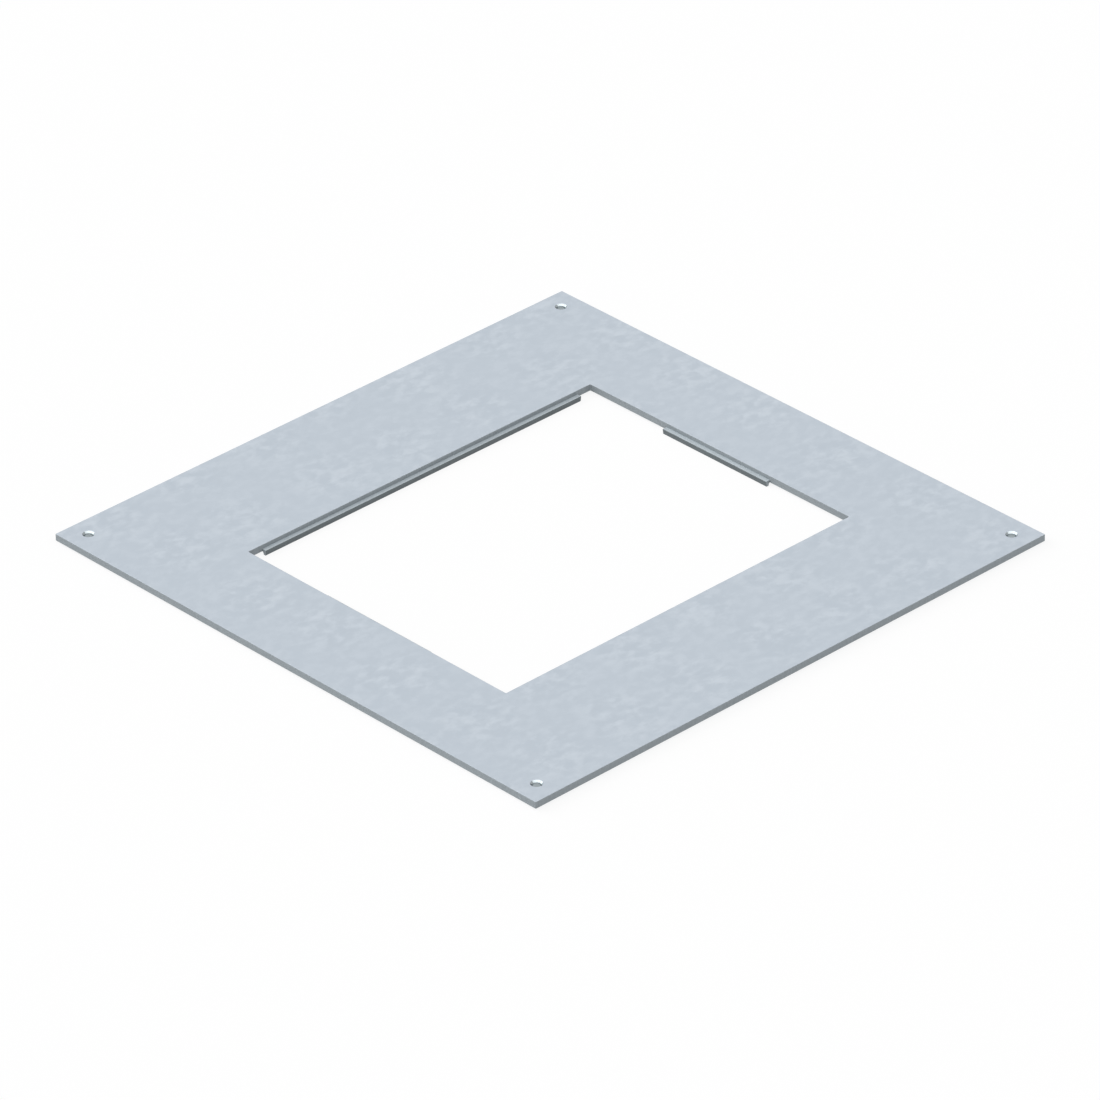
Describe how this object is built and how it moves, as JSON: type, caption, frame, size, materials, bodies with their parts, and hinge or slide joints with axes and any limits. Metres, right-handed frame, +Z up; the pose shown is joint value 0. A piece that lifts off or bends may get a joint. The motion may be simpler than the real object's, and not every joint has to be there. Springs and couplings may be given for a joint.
{
  "type": "floor box cover",
  "caption": "Flat square sheet-steel cover for an underfloor wiring box, with a rectangular insert opening, countersunk corner screw holes and narrow ledges along the opening.",
  "frame": {"origin": "centre of the plate's underside, in the middle of the screw hole pattern, at the plane that seats on the box", "axes": "+Z up out of the floor, X along the long sides of the opening, Y along its short sides"},
  "size_m": [0.383, 0.383, 0.0058],
  "materials": {
    "galvanised_plate": "galvanised with a faint cloudy spangle, satin",
    "galvanised_strip": "galvanised, satin"
  },
  "bodies": {
    "root": {"cover_plate": "galvanised_plate", "long_ledge_back": "galvanised_strip", "long_ledge_front": "galvanised_strip", "short_ledge_left": "galvanised_strip", "short_ledge_right": "galvanised_strip"}
  },
  "joints": []
}
